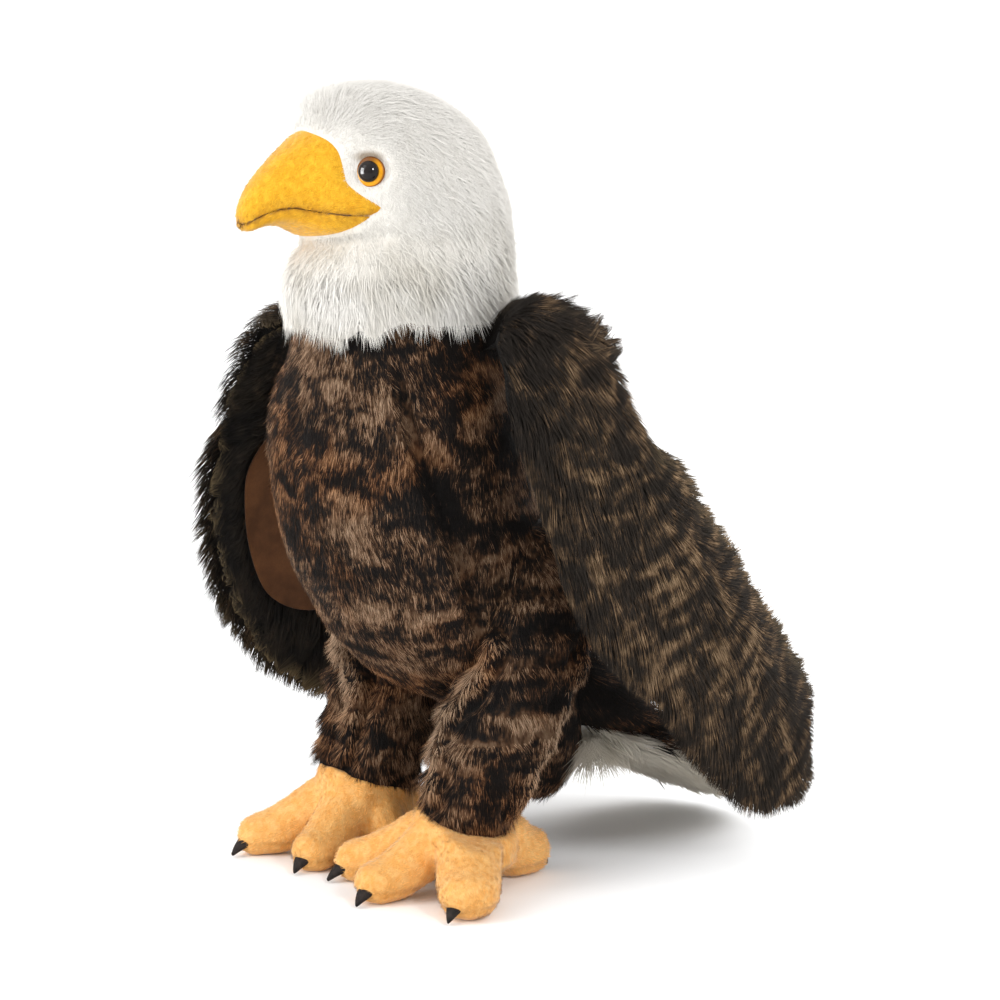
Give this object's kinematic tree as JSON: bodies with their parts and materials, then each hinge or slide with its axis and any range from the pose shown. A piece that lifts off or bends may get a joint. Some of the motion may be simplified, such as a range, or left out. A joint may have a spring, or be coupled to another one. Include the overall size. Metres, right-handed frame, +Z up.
{
  "type": "plush toy bald eagle",
  "caption": "Stuffed plush bald eagle toy standing on its own padded feet, wings hanging folded at its sides, with a white head, a hooked beak and a shaggy brown coat.",
  "frame": {"origin": "on the floor, under the middle of the whole toy's box", "axes": "+Z up, the toy faces -Y and its own left side is +X"},
  "size_m": [0.2396, 0.2504, 0.33],
  "materials": {
    "white_plush": "long-pile plush",
    "brown_plush": "mottled short plush",
    "shaggy_plush": "shaggy barred plush",
    "lining_suede": "smooth brushed cloth",
    "beak_velour": "short-pile velour",
    "foot_velour": "short-pile velour",
    "claw_felt": "matt imitation leather",
    "eye_amber": "glossy",
    "pupil_black": "polished"
  },
  "bodies": {
    "root": {"eye_left": "eye_amber", "pupil_left": "pupil_black", "eye_right": "eye_amber", "pupil_right": "pupil_black", "head": "white_plush", "neck": "white_plush", "beak_upper": "beak_velour", "beak_lower": "beak_velour", "trunk": "brown_plush", "rump": "brown_plush", "tail": "white_plush", "wing_left": "shaggy_plush", "wing_lining_left": "lining_suede", "wing_right": "shaggy_plush", "wing_lining_right": "lining_suede", "leg_left": "brown_plush", "foot_left": "foot_velour", "claw_left_middle": "claw_felt", "claw_left_inner": "claw_felt", "claw_left_outer": "claw_felt", "claw_left_hind": "claw_felt", "leg_right": "brown_plush", "foot_right": "foot_velour", "claw_right_middle": "claw_felt", "claw_right_inner": "claw_felt", "claw_right_outer": "claw_felt", "claw_right_hind": "claw_felt"}
  },
  "joints": []
}
